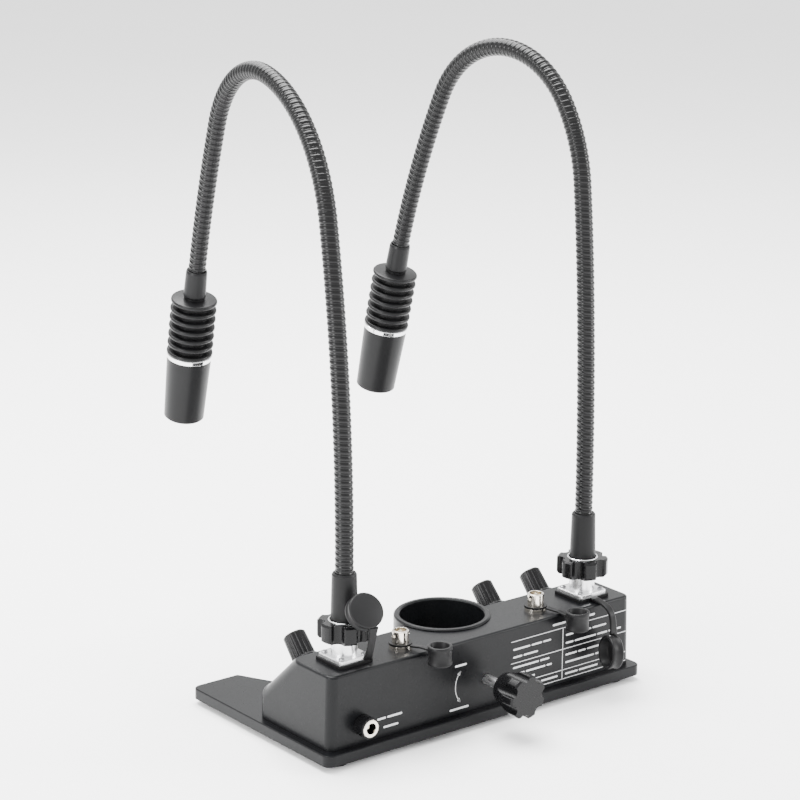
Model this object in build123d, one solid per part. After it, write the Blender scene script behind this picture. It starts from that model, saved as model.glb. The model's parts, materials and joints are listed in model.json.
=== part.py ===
from build123d import *
from math import atan2, cos, radians, sin
import os

# Twin gooseneck lamp base that clamps round a microscope column.
# Millimetres, +Z up. The origin is on the column bore's axis, in the plane of the plate's underside.
# The dimmer knobs face -Y, the side the user works from; the power inlet faces +Y.

# Base plate and feet
PLATE_THICK = 6.5
PLATE_HALF_WIDTH = 118.4
PLATE_REAR = 46.4
PLATE_FRONT = -87.7
PLATE_CORNER = 5.0
CUTOUT_HALF_FRONT = 85.7
CUTOUT_HALF_BACK = 61.5
CUTOUT_BACK = -39.5
CUTOUT_CORNER = 9.0
FOOT_RADIUS = 8.0
FOOT_HEIGHT = 3.5
FOOT_X = 104.0
FOOT_REAR = 34.0
FOOT_FRONT = -74.0

# Housing
HOUSING_HALF_TOP = 112.5
HOUSING_HALF_BOTTOM = 113.7
HOUSING_REAR = 41.4
HOUSING_FRONT = -26.3
HOUSING_TOP = 50.6
SLOPE_TOP_Y = 3.0
SLOPE_BOTTOM_Z = 23.5
WALL = 2.5
CORNER_RADIUS = 5.0
TOP_EDGE_RADIUS = 1.6
BOSS_RADIUS = 4.0
SCREW_RADIUS = 2.0
SCREW_HEAD_RADIUS = 3.9
SCREW_LENGTH = 14.0
BOSSES = [(104.0, 30.0), (104.0, -17.0), (36.0, 33.0)]

# Column collar
BORE_RADIUS = 25.0
COLLAR_RADIUS = 28.6
COLLAR_TOP = 52.0

# Clamp screw through the rear wall
CLAMP_Z = 23.5
CLAMP_SCREW_RADIUS = 3.0
CLAMP_KNOB_BACK = 57.5
CLAMP_KNOB_FACE = 78.5
CLAMP_KNOB_RADIUS = 13.0
CLAMP_KNOB_LOBES = 7
CLAMP_KNOB_TAPER = 4.2
CLAMP_NOTCH_RADIUS = 3.4
CLAMP_NOTCH_OFFSET = 0.3
PAD_RADIUS = 5.0
PAD_FACE = 25.5
PAD_BACK = 28.0

# Outlets on the top and their dimmers on the slope
LAMP_X = 89.5
LAMP_Y = 23.0
AUX_X = 51.0
AUX_Y = 25.0
GASKET_HALF = 11.8
GASKET_THICK = 2.0
FLANGE_HALF = 10.6
FLANGE_THICK = 2.2
FLANGE_HOLE = 7.9
BARREL_RADIUS = 7.5
BARREL_BORE = 6.8
BARREL_TOP = 70.0
AUX_RADIUS = 4.8
AUX_HEIGHT = 10.0
AUX_FLANGE_RADIUS = 6.6
KNOB_TOP = 20.0
KNOB_RADIUS = 7.1
KNOB_TIP_RADIUS = 6.7
KNOB_SKIRT_RADIUS = 8.4
KNOB_FLUTES = 18
KNOB_BASE = 2.9
SHAFT_RADIUS = 3.0

# Hand nut that holds an arm's plug in its socket
NUT_BOTTOM = 64.0
NUT_TOP = 75.0
NUT_RADIUS = 15.3
NUT_RING_RADIUS = 9.2

# Goosenecks: the centre line starts upright inside the socket
ARM_START_Z = 56.5
SLEEVE_TOP = 102.5
HOSE_RADIUS = 5.4
JOINT_CLEARANCE = 0.4
DOME_STEP = 0.03
FERRULE_LENGTH = 18.0

# Lamp heads, measured along the arm from the heat sink's top disc
FIN_COUNT = 7
FIN_PITCH = 5.7
FIN_THICK = 2.5
FIN_RADIUS = 14.1
FIN_CORE = 10.2
SINK_LENGTH = (FIN_COUNT - 1) * FIN_PITCH + FIN_THICK
RING_LENGTH = 2.8
HEAD_LENGTH = 80.2
BARREL_END_RADIUS = 12.3

# Power inlet
INLET_X = 91.0
INLET_Z = 18.3
INLET_RADIUS = 6.1
INLET_REACH = 8.5

# Dimming boards inside, one each side of the collar
BOARD_X = 66.0
BOARD_Y = 4.0

SLOPE_ANGLE = atan2(HOUSING_TOP - SLOPE_BOTTOM_Z, SLOPE_TOP_Y - HOUSING_FRONT)
SLOPE_MIDDLE_Y = (SLOPE_TOP_Y + HOUSING_FRONT) / 2
SLOPE_MIDDLE_Z = (HOUSING_TOP + SLOPE_BOTTOM_Z) / 2


class Arm:
    """One gooseneck: its side (+1 for +X), its lean, and its stretches of even bend as (length, turn)."""

    def __init__(self, side, lean, stretches, hinges):
        self.side = side
        self.stretches = stretches
        self.total = sum(length for length, _ in stretches)
        self.hinges = [*hinges, self.total - FERRULE_LENGTH - 2.0]
        self.forward = Vector(-side * sin(radians(lean)), -cos(radians(lean)), 0)
        self.base = Vector(side * LAMP_X, LAMP_Y, ARM_START_Z)

    def state(self, s):
        """Reach, height and heading from upright, in the arm's own plane, at arc length s."""
        reach, height, heading = 0.0, 0.0, 0.0
        left = s
        for length, turn in self.stretches:
            step = min(left, length)
            bend = radians(turn) * step / length
            half = bend / 2
            chord = step if abs(half) < 1e-9 else step * sin(half) / half
            reach += chord * sin(heading + half)
            height += chord * cos(heading + half)
            heading += bend
            left -= step
            if left <= 0:
                break
        return reach, height, heading

    def point(self, s):
        reach, height, _ = self.state(s)
        return self.base + self.forward * reach + Vector(0, 0, height)

    def tangent(self, s):
        heading = self.state(s)[2]
        return self.forward * sin(heading) + Vector(0, 0, cos(heading))

    def plane(self, s):
        """A plane across the centre line, its normal along the arm, its X across the arm's plane."""
        across = self.forward.cross(Vector(0, 0, 1))
        return Plane(origin=self.point(s), x_dir=across, z_dir=self.tangent(s))

    def path(self, start, end):
        """The centre line from start to end: one straight or arc for each stretch that it crosses."""
        knots = [start]
        reached = 0.0
        for length, _ in self.stretches:
            reached += length
            if start + 0.01 < reached < end - 0.01:
                knots.append(reached)
        knots.append(end)
        edges = []
        for a, b in zip(knots, knots[1:]):
            if abs(self.state(a)[2] - self.state(b)[2]) < 1e-6:
                edges.append(Edge.make_line(self.point(a), self.point(b)))
            else:
                middle = self.point((a + b) / 2)
                edges.append(Edge.make_three_point_arc(self.point(a), middle, self.point(b)))
        return Wire(edges)


RIGHT_ARM = Arm(1, 8.87, [(58, 0), (183.7, 11.7), (108.5, 69.1), (79.4, 77.4), (118.0, 8.9)], (165, 330))
LEFT_ARM = Arm(
    -1,
    3.87,
    [(58, 0), (116.4, 2.8), (69.2, 2.7), (48.5, 27.8), (125.8, 121.3), (124.5, 12.0)],
    (165, 340),
)


def slope_plane(x):
    """A plane on the sloping panel, centred down its length, normal outwards."""
    normal = Vector(0, -sin(SLOPE_ANGLE), cos(SLOPE_ANGLE))
    return Plane(origin=(x, SLOPE_MIDDLE_Y, SLOPE_MIDDLE_Z), x_dir=(1, 0, 0), z_dir=normal)


def post(x, y, z0, z1, radius):
    """An upright cylinder from z0 to z1."""
    return Pos(x, y, (z0 + z1) / 2) * Cylinder(radius, z1 - z0)


def rear_post(x, z, y0, y1, radius):
    """A cylinder along Y from y0 to y1."""
    return Pos(x, (y0 + y1) / 2, z) * Rot(90, 0, 0) * Cylinder(radius, y1 - y0)


def local_post(plane, z0, z1, radius):
    """A cylinder along a plane's normal, between two distances from it."""
    return plane * post(0, 0, z0, z1, radius)


def turned(plane, profile):
    """A solid of revolution about a plane's normal from (radius, height) points."""
    outline = make_face(Polyline(*[(r, 0, h) for r, h in profile], close=True))
    return plane * revolve(outline, Axis.Z)


def lobed_outline(radius, lobes, notch_radius, notch_centre):
    """A round outline with evenly spaced scallops between its lobes."""
    outline = Circle(radius)
    for notch in range(lobes):
        outline -= Rot(0, 0, (notch + 0.5) * 360 / lobes) * Pos(notch_centre, 0) * Circle(notch_radius)
    return outline


def plate_outline():
    front = [
        (-PLATE_HALF_WIDTH, PLATE_FRONT),
        (-CUTOUT_HALF_FRONT, PLATE_FRONT),
        (-CUTOUT_HALF_BACK, CUTOUT_BACK),
        (CUTOUT_HALF_BACK, CUTOUT_BACK),
        (CUTOUT_HALF_FRONT, PLATE_FRONT),
        (PLATE_HALF_WIDTH, PLATE_FRONT),
    ]
    rear = [(PLATE_HALF_WIDTH, PLATE_REAR), (-PLATE_HALF_WIDTH, PLATE_REAR)]
    outline = make_face(Polyline(*front, *rear, close=True))
    inner = outline.vertices().filter_by_position(Axis.Y, CUTOUT_BACK - 1, CUTOUT_BACK + 1)
    outer = outline.vertices().filter_by(lambda v: abs(v.X) > PLATE_HALF_WIDTH - 1)
    tips = outline.vertices().filter_by(lambda v: abs(abs(v.X) - CUTOUT_HALF_FRONT) < 1)
    outline = fillet(inner, CUTOUT_CORNER)
    outline = fillet([v for v in outline.vertices() if near_any(v, outer)], PLATE_CORNER)
    return fillet([v for v in outline.vertices() if near_any(v, tips)], 2.0)


def near_any(vertex, others):
    return any((Vector(*vertex) - Vector(*other)).length < 0.01 for other in others)


def screw_places():
    """Where the housing screws come up through the plate."""
    return [(side * x, y) for side in (1, -1) for x, y in BOSSES]


def base_plate():
    plate = extrude(plate_outline(), PLATE_THICK)
    rims = plate.edges().group_by(Axis.Z)[-1]
    plate = chamfer(rims, 0.5)
    plate -= post(0, 0, -1, PLATE_THICK + 1, COLLAR_RADIUS)
    for x, y in screw_places():
        plate -= post(x, y, -1, PLATE_THICK + 1, SCREW_RADIUS)
        sink = SCREW_HEAD_RADIUS - SCREW_RADIUS
        plate -= turned(Plane((x, y, 0)), [(0, 0), (SCREW_HEAD_RADIUS, 0), (SCREW_RADIUS, sink), (0, sink)])
    return plate


def rubber_feet():
    feet = []
    for x in (FOOT_X, -FOOT_X):
        for y in (FOOT_REAR, FOOT_FRONT):
            profile = [(0, 0), (FOOT_RADIUS, 0), (FOOT_RADIUS, -1.5), (FOOT_RADIUS - 1, -FOOT_HEIGHT)]
            feet.append(turned(Plane((x, y, 0)), [*profile, (0, -FOOT_HEIGHT)]))
    return feet


def base_screws():
    sink = SCREW_HEAD_RADIUS - SCREW_RADIUS
    screws = []
    for x, y in screw_places():
        profile = [(0, 0), (SCREW_HEAD_RADIUS, 0), (SCREW_RADIUS, sink), (SCREW_RADIUS, SCREW_LENGTH)]
        screw = turned(Plane((x, y, 0)), [*profile, (0, SCREW_LENGTH)])
        for angle in (0, 90):
            screw -= Pos(x, y, 0.6) * Rot(0, 0, angle) * Box(4.4, 0.9, 1.4)
        screws.append(screw)
    return screws


def housing_block(inset):
    """The housing's outer form, or its hollow when inset by the wall."""
    slope_shift = inset * (1 - cos(SLOPE_ANGLE)) / sin(SLOPE_ANGLE)
    front_shift = inset * (1 - sin(SLOPE_ANGLE)) / cos(SLOPE_ANGLE)
    side_view = make_face(
        Polyline(
            (0, HOUSING_REAR - inset, PLATE_THICK),
            (0, HOUSING_REAR - inset, HOUSING_TOP - inset),
            (0, SLOPE_TOP_Y + slope_shift, HOUSING_TOP - inset),
            (0, HOUSING_FRONT + inset, SLOPE_BOTTOM_Z - front_shift),
            (0, HOUSING_FRONT + inset, PLATE_THICK),
            close=True,
        )
    )
    top = HOUSING_HALF_TOP - inset
    bottom = HOUSING_HALF_BOTTOM - inset
    front_view = make_face(
        Polyline(
            (-bottom, 0, PLATE_THICK),
            (bottom, 0, PLATE_THICK),
            (top, 0, HOUSING_TOP - inset),
            (-top, 0, HOUSING_TOP - inset),
            close=True,
        )
    )
    return extrude(side_view, 130, both=True) & extrude(front_view, 60, both=True)


def housing_shell():
    outer = housing_block(0)
    uprights = outer.edges().filter_by(lambda e: abs(e.tangent_at(0.5).Z) > 0.99)
    outer = fillet(uprights, CORNER_RADIUS)
    bend = outer.edges().filter_by(Axis.X).filter_by_position(Axis.Z, SLOPE_BOTTOM_Z - 3, SLOPE_BOTTOM_Z + 3)
    outer = fillet(bend, 7.0)
    upper = outer.edges().filter_by_position(Axis.Z, SLOPE_BOTTOM_Z + 4, HOUSING_TOP + 1)
    outer = fillet([e for e in upper if abs(e.tangent_at(0.5).Z) < 0.9], TOP_EDGE_RADIUS)
    shell = outer - housing_block(WALL)
    shell -= post(0, 0, 0, 99, COLLAR_RADIUS)
    for side in (1, -1):
        shell -= post(side * LAMP_X, LAMP_Y, 40, 60, BARREL_BORE + 0.4)
        for dx in (FLANGE_HOLE, -FLANGE_HOLE):
            for dy in (FLANGE_HOLE, -FLANGE_HOLE):
                shell -= post(side * LAMP_X + dx, LAMP_Y + dy, 40, 60, 1.0)
        shell -= post(side * AUX_X, AUX_Y, 40, 60, 4.5)
        for x in (LAMP_X, AUX_X):
            shell -= local_post(slope_plane(side * x), -4, 4, 3.6)
    shell -= rear_post(INLET_X, INLET_Z, 30, 50, 5.6)
    shell -= rear_post(0, CLAMP_Z, 30, 50, CLAMP_SCREW_RADIUS + 0.3)
    return shell


def housing_bosses():
    """Threaded posts inside the shell, from the plate to the roof or the slope."""
    bosses = []
    for x, y in screw_places():
        boss = post(x, y, PLATE_THICK, HOUSING_TOP, BOSS_RADIUS) & housing_block(WALL)
        bosses.append(boss - post(x, y, 0, SCREW_LENGTH, SCREW_RADIUS))
    return bosses


def column_collar():
    profile = [
        (BORE_RADIUS, 0),
        (COLLAR_RADIUS, 0),
        (COLLAR_RADIUS, COLLAR_TOP - 0.8),
        (COLLAR_RADIUS - 0.8, COLLAR_TOP),
        (BORE_RADIUS + 0.8, COLLAR_TOP),
        (BORE_RADIUS, COLLAR_TOP - 0.8),
    ]
    collar = turned(Plane.XY, profile)
    return collar - rear_post(0, CLAMP_Z, 20, 35, PAD_RADIUS + 0.3)


def clamp_boss():
    """The threaded bush between the collar and the rear wall."""
    boss = rear_post(0, CLAMP_Z, BORE_RADIUS, HOUSING_REAR - WALL, 8.0)
    boss -= post(0, 0, 0, 99, COLLAR_RADIUS)
    boss -= rear_post(0, CLAMP_Z, 20, 50, CLAMP_SCREW_RADIUS + 0.06)
    return boss - rear_post(0, CLAMP_Z, 20, 30, PAD_RADIUS + 0.3)


def clamp_pad():
    pad = rear_post(0, CLAMP_Z, PAD_FACE, PAD_BACK, PAD_RADIUS)
    pad = chamfer(pad.edges().sort_by(Axis.Y)[0], 0.4)
    return pad - rear_post(0, CLAMP_Z, PAD_FACE + 1.2, PAD_BACK + 1, 2.05)


def clamp_screw():
    screw = rear_post(0, CLAMP_Z, PAD_BACK + 0.4, CLAMP_KNOB_BACK + 15, CLAMP_SCREW_RADIUS)
    return screw + rear_post(0, CLAMP_Z, PAD_FACE + 1.5, PAD_BACK + 1, 1.98)


def clamp_knob():
    back = Plane(origin=(0, CLAMP_KNOB_BACK, CLAMP_Z), x_dir=(1, 0, 0), z_dir=(0, 1, 0))
    length = CLAMP_KNOB_FACE - CLAMP_KNOB_BACK
    outline = lobed_outline(
        CLAMP_KNOB_RADIUS, CLAMP_KNOB_LOBES, CLAMP_NOTCH_RADIUS, CLAMP_KNOB_RADIUS + CLAMP_NOTCH_OFFSET
    )
    outline = fillet(outline.vertices(), 0.8)
    lobes = extrude(outline, length)
    envelope = [
        (0, 0),
        (CLAMP_KNOB_RADIUS - CLAMP_KNOB_TAPER, 0),
        (CLAMP_KNOB_RADIUS - 3.4, 3),
        (CLAMP_KNOB_RADIUS - 0.5, 11),
        (CLAMP_KNOB_RADIUS, 13.5),
        (CLAMP_KNOB_RADIUS, length - 1.0),
        (CLAMP_KNOB_RADIUS - 1.0, length),
        (0, length),
    ]
    knob = lobes & turned(Plane.XY, envelope)
    return back * knob - rear_post(0, CLAMP_Z, 40, CLAMP_KNOB_BACK + 15, CLAMP_SCREW_RADIUS)


def aux_jack(side):
    """A bayonet outlet: threaded stem and nut under the panel, barrel with two lugs above it."""
    jack = turned(
        Plane((side * AUX_X, AUX_Y, HOUSING_TOP)),
        [
            (3.6, -11),
            (4.5, -11),
            (4.5, 0),
            (AUX_FLANGE_RADIUS, 0),
            (AUX_FLANGE_RADIUS, 1.5),
            (AUX_RADIUS, 1.5),
            (AUX_RADIUS, AUX_HEIGHT - 0.5),
            (AUX_RADIUS - 0.5, AUX_HEIGHT),
            (3.6, AUX_HEIGHT),
        ],
    )
    for end in (1, -1):
        lug = Rot(0, 90, 0) * Cylinder(1.0, 1.6)
        jack += Pos(side * AUX_X + end * (AUX_RADIUS + 0.1), AUX_Y, HOUSING_TOP + 6.4) * lug
    return jack


def panel_nuts():
    """Hexagonal nuts: the bayonet outlets' inside the panel, the potentiometers' on the slope."""
    nuts = []
    for side in (1, -1):
        nut = Pos(side * AUX_X, AUX_Y, HOUSING_TOP - WALL - 2.4) * extrude(RegularPolygon(7.2, 6), 2.4)
        nuts.append(nut - post(side * AUX_X, AUX_Y, 30, 60, 4.5))
        for x in (LAMP_X, AUX_X):
            place = slope_plane(side * x)
            nut = place * extrude(RegularPolygon(5.8, 6), 2.0)
            nuts.append(nut - local_post(place, -1, 4, 3.55))
    return nuts


def outlet_contacts():
    """Insulators and pins inside the bayonet outlets and the lamp sockets."""
    pieces = []
    for side in (1, -1):
        x = side * AUX_X
        insulator = post(x, AUX_Y, HOUSING_TOP - 10, HOUSING_TOP + 2.5, 3.6)
        pieces.append(insulator - post(x, AUX_Y, 30, 70, 0.8))
        pieces.append(post(x, AUX_Y, HOUSING_TOP - 12, HOUSING_TOP + 7, 0.8))
        x = side * LAMP_X
        insulator = post(x, LAMP_Y, HOUSING_TOP - 8, HOUSING_TOP + 4, BARREL_BORE)
        for turn in range(4):
            angle = radians(45 + 90 * turn)
            px = x + 3.2 * cos(angle)
            py = LAMP_Y + 3.2 * sin(angle)
            insulator -= post(px, py, 30, 70, 0.7)
            pieces.append(post(px, py, HOUSING_TOP - 10, HOUSING_TOP + 5.4, 0.7))
        pieces.append(insulator)
    return pieces


def lamp_socket(side):
    """Square flange with four screw holes and the round threaded barrel."""
    x = side * LAMP_X
    z = HOUSING_TOP + GASKET_THICK
    flange = extrude(RectangleRounded(2 * FLANGE_HALF, 2 * FLANGE_HALF, 1.6), FLANGE_THICK)
    flange = chamfer(flange.edges().group_by(Axis.Z)[-1], 0.4)
    socket = Pos(x, LAMP_Y, z) * flange
    socket += post(x, LAMP_Y, z, BARREL_TOP, BARREL_RADIUS)
    socket += post(x, LAMP_Y, HOUSING_TOP - 6, z, BARREL_BORE + 0.3)
    socket -= post(x, LAMP_Y, 30, 99, BARREL_BORE)
    for dx in (FLANGE_HOLE, -FLANGE_HOLE):
        for dy in (FLANGE_HOLE, -FLANGE_HOLE):
            socket -= post(x + dx, LAMP_Y + dy, 40, 60, 1.0)
    return socket


def socket_screws():
    """Pan-head cross screws at the corners of both lamp sockets."""
    screws = []
    seat = HOUSING_TOP + GASKET_THICK + FLANGE_THICK
    for side in (1, -1):
        for dx in (FLANGE_HOLE, -FLANGE_HOLE):
            for dy in (FLANGE_HOLE, -FLANGE_HOLE):
                place = Plane((side * LAMP_X + dx, LAMP_Y + dy, seat))
                profile = [(0, 0), (1.8, 0), (1.7, 0.7), (1.2, 1.1), (0, 1.2)]
                screw = turned(place, profile)
                screw += local_post(place, -8, 0, 1.0)
                for angle in (20, 110):
                    screw -= place * Pos(0, 0, 1.1) * Rot(0, 0, angle) * Box(2.2, 0.5, 0.9)
                screws.append(screw)
    return screws


def socket_gaskets():
    gaskets = []
    for side in (1, -1):
        square = RectangleRounded(2 * GASKET_HALF, 2 * GASKET_HALF, 1.5)
        gasket = Pos(side * LAMP_X, LAMP_Y, HOUSING_TOP) * extrude(square, GASKET_THICK)
        gasket -= post(side * LAMP_X, LAMP_Y, 30, 99, BARREL_BORE + 0.4)
        for dx in (FLANGE_HOLE, -FLANGE_HOLE):
            for dy in (FLANGE_HOLE, -FLANGE_HOLE):
                gasket -= post(side * LAMP_X + dx, LAMP_Y + dy, 40, 60, 1.0)
        gaskets.append(gasket)
    return gaskets


def aux_cap_rings():
    """The rubber eyes that hold the aux caps' straps round the outlets."""
    rings = []
    for side in (1, -1):
        place = Plane((side * AUX_X, AUX_Y, HOUSING_TOP + 1.5))
        rings.append(local_post(place, 0, 1.2, 6.8) - local_post(place, -1, 2, AUX_RADIUS + 0.05))
    return rings


def strap(points, width, thick, bend):
    """A flat strap along points: straights joined by arcs, lying in the upright plane through its ends."""
    start = Vector(*points[0])
    end = Vector(*points[-1])
    flat = Vector(end.X - start.X, end.Y - start.Y, 0).normalized()
    side_on = Plane(origin=start, x_dir=flat, z_dir=flat.cross(Vector(0, 0, 1)))
    local = [((Vector(*p) - start).dot(flat), p[2] - start.Z) for p in points]
    line = FilletPolyline(*local, radius=bend) if len(local) > 2 else Polyline(*local)
    section = trace(line, thick)
    return side_on * extrude(section, width / 2, both=True)


def cup(place, radius, depth, wall):
    """A moulded cap: a cup whose mouth lies in the plane and whose floor is depth behind it."""
    body = local_post(place, -depth, 0, radius)
    body = fillet(body.edges().sort_by(lambda e: place.to_local_coords(e.center()).Z)[0], 1.0)
    return body - local_post(place, -depth + wall, 1, radius - wall)


RIGHT_CAP_STRAP = [(83.0, 35.8, 53.6), (85.8, 42.4, 64.0), (88.5, 48.8, 78.5)]
LEFT_CAP_STRAP = [(-88.0, 35.8, 52.2), (-88.0, 48.0, 50.5), (-88.0, 53.2, 44.0), (-88.0, 53.4, 32.5)]


def right_lamp_cap():
    """The socket cap that stands up beside its arm, tied to the gasket by its strap."""
    outward = Vector(0.1, 0.79, 0.61).normalized()
    face = Vector(89.8, 44.0, 86.6)
    place = Plane(origin=face - outward * 6.6, x_dir=(1, 0, 0), z_dir=-outward)
    return cup(place, 10.5, 6.6, 1.8) + strap(RIGHT_CAP_STRAP, 4.0, 1.5, 6.0)


def left_lamp_cap():
    """The socket cap that hangs behind the rear wall, its mouth turned towards +X."""
    mouth = Vector(0.955, -0.28, 0.09).normalized()
    place = Plane(origin=(-81.8, 53.9, 24.7), x_dir=(0, 0, 1), z_dir=mouth)
    tie = strap(LEFT_CAP_STRAP, 4.0, 1.5, 4.5) - local_post(place, -5.5, 1, 8.4)
    return cup(place, 10.1, 7.4, 1.8) + tie


def aux_cap(side, x, y, rim, start_x, start_y):
    """A dust cap, mouth up, on a strap that starts at the outlet and ends in the cap's side."""
    place = Plane((x, y, rim))
    body = cup(place, 7.1, 11.5, 1.7)
    tie = strap([(start_x, start_y, HOUSING_TOP + 2.1), (x, y, rim - 4.0)], 3.2, 1.2, 0)
    return body + (tie - local_post(place, -9, 1, 6.0))


def dimmer_knob(x):
    place = slope_plane(x)
    profile = [
        (0, KNOB_BASE),
        (KNOB_SKIRT_RADIUS, KNOB_BASE),
        (KNOB_SKIRT_RADIUS, KNOB_BASE + 1.2),
        (KNOB_RADIUS, KNOB_BASE + 2.4),
        (KNOB_TIP_RADIUS, KNOB_TOP - 0.9),
        (KNOB_TIP_RADIUS - 0.9, KNOB_TOP),
        (0, KNOB_TOP),
    ]
    knob = turned(Plane.XY, profile)
    for flute in range(KNOB_FLUTES):
        groove = Pos(KNOB_RADIUS + 0.25, 0, (KNOB_TOP + 7.5) / 2) * Cylinder(0.85, KNOB_TOP - 2.5)
        knob -= Rot(0, 0, flute * 360 / KNOB_FLUTES) * groove
    return place * knob - local_post(place, 0, 14.2, SHAFT_RADIUS)


def dimmer_shaft(x):
    return local_post(slope_plane(x), -6.2, 14.0, SHAFT_RADIUS)


def potentiometers():
    pots = []
    for x in (LAMP_X, AUX_X, -AUX_X, -LAMP_X):
        place = slope_plane(x)
        pot = place * Pos(0, 0, -WALL - 3.4) * Box(10, 10, 6.8)
        pot += local_post(place, -WALL, 2.4, 3.55)
        pots.append(pot - local_post(place, -6.6, 4, SHAFT_RADIUS + 0.06))
    return pots


def dc_inlet():
    inlet = rear_post(INLET_X, INLET_Z, 27.5, HOUSING_REAR, 5.6)
    inlet += rear_post(INLET_X, INLET_Z, HOUSING_REAR, HOUSING_REAR + INLET_REACH, INLET_RADIUS)
    inlet = chamfer(inlet.edges().sort_by(Axis.Y)[-1], 0.4)
    inlet -= rear_post(INLET_X, INLET_Z, 30, 60, 3.3)
    return inlet - rear_post(INLET_X, INLET_Z, HOUSING_REAR + INLET_REACH - 1.5, 60, 5.3)


def dc_inlet_contacts():
    """The bright ring round the inlet's mouth, and its centre pin."""
    front = HOUSING_REAR + INLET_REACH
    ring = rear_post(INLET_X, INLET_Z, front - 1.5, front + 0.2, 5.3)
    ring = chamfer(ring.edges().sort_by(Axis.Y)[-1], 0.4)
    ring -= rear_post(INLET_X, INLET_Z, front - 2, front + 1, 3.3)
    return [ring, rear_post(INLET_X, INLET_Z, 30, front - 3.0, 1.05)]


def driver_boards():
    """One dimming board on each side of the collar."""
    boards = []
    for side in (1, -1):
        board = Pos(side * BOARD_X, BOARD_Y, PLATE_THICK + 4.8) * Box(60, 44, 1.6)
        for x, y in board_corners(side):
            board -= post(x, y, 0, 30, 1.5)
        boards.append(board)
    return boards


def board_corners(side):
    return [(side * BOARD_X + dx, BOARD_Y + dy) for dx in (26, -26) for dy in (18, -18)]


def board_standoffs():
    posts = []
    for side in (1, -1):
        for x, y in board_corners(side):
            posts.append(post(x, y, PLATE_THICK, PLATE_THICK + 4, 2.6))
            screw = post(x, y, PLATE_THICK + 5.6, PLATE_THICK + 7, 2.4)
            posts.append(screw + post(x, y, PLATE_THICK + 4, PLATE_THICK + 5.6, 1.5))
    return posts


def board_parts():
    """Inductor, capacitors, regulator and wire connectors standing on each board."""
    top = PLATE_THICK + 5.6
    parts = []
    for side in (1, -1):
        parts.append(Pos(side * 58, -6, top + 2.5) * Box(10, 10, 5))
        parts.append(Pos(side * 74, -6, top + 1.2) * Box(9, 7, 2.4))
        parts.append(Pos(side * LAMP_X, 4, top + 3) * Box(10, 6, 6))
        parts.append(Pos(side * AUX_X, 4, top + 3) * Box(8, 6, 6))
        for dx in (64, 74):
            parts.append(post(side * dx, 10, top, top + 8, 3.2))
    return parts


def lead_wires():
    """Wire pairs from each board's connectors up to the lamp and aux outlets."""
    top = PLATE_THICK + 5.6
    wires = []
    for side in (1, -1):
        for x, end_y, end_z in ((LAMP_X, LAMP_Y, HOUSING_TOP - 10.2), (AUX_X, AUX_Y, HOUSING_TOP - 12.2)):
            for shift in (-1.6, 1.6):
                px = side * x + shift
                line = FilletPolyline(
                    (px, 4, top + 6), (px, 4, top + 15), (px, end_y, end_z - 6), (px, end_y, end_z), radius=4
                )
                wires.append(sweep(Plane(origin=(px, 4, top + 6)) * Circle(0.7), path=line))
    return wires


def arm_plug(arm):
    """The metal plug inside the socket, with the collar that the hand nut pulls down on."""
    x = arm.side * LAMP_X
    profile = [
        (0, ARM_START_Z),
        (BARREL_BORE - 0.08, ARM_START_Z),
        (BARREL_BORE - 0.08, BARREL_TOP + 0.2),
        (8.3, BARREL_TOP + 0.2),
        (8.3, BARREL_TOP + 2.2),
        (BARREL_BORE, BARREL_TOP + 2.2),
        (BARREL_BORE, BARREL_TOP + 8.0),
        (0, BARREL_TOP + 8.0),
    ]
    return turned(Plane((x, LAMP_Y, 0)), profile)


def base_sleeve(arm):
    """The tapered rubber sleeve over the plug's stem and the hose's foot."""
    profile = [
        (0, 72.6),
        (7.8, 72.6),
        (7.7, 78.0),
        (7.1, SLEEVE_TOP - 1.0),
        (6.5, SLEEVE_TOP),
        (0, SLEEVE_TOP),
    ]
    x = arm.side * LAMP_X
    sleeve = turned(Plane((x, LAMP_Y, 0)), profile)
    sleeve -= post(x, LAMP_Y, 60, BARREL_TOP + 8.0, BARREL_BORE)
    return sleeve - post(x, LAMP_Y, BARREL_TOP + 8.0, 120, HOSE_RADIUS + 0.05)


def hand_nut(arm):
    """The six-lobed nut, threaded on the socket's barrel and retained under the plug's collar."""
    outline = lobed_outline(NUT_RADIUS, 6, 3.7, NUT_RADIUS - 0.3)
    outline = fillet(outline.vertices(), 1.4)
    height = NUT_TOP - NUT_BOTTOM
    nut = extrude(outline, height)
    envelope = [
        (0, 0),
        (NUT_RADIUS - 1.4, 0),
        (NUT_RADIUS, 1.4),
        (NUT_RADIUS, height - 1.1),
        (NUT_RADIUS - 1.1, height),
        (0, height),
    ]
    nut = Rot(0, 0, 8) * (nut & turned(Plane.XY, envelope))
    nut = Pos(arm.side * LAMP_X, LAMP_Y, NUT_BOTTOM) * nut
    place = Plane((arm.side * LAMP_X, LAMP_Y, 0))
    nut -= local_post(place, 60, 80, BARREL_RADIUS + 0.06)
    nut -= local_post(place, BARREL_TOP - 0.1, 80, 8.6)
    return nut - local_post(place, NUT_TOP - 1.6, 80, NUT_RING_RADIUS)


def nut_ring(arm):
    """The bright snap ring in the top of the hand nut."""
    place = Plane((arm.side * LAMP_X, LAMP_Y, 0))
    ring = local_post(place, NUT_TOP - 1.6, NUT_TOP + 0.4, NUT_RING_RADIUS)
    ring = chamfer(ring.edges().sort_by(Axis.Z)[-1], 0.3)
    return ring - local_post(place, 60, 80, 8.4)


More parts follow.
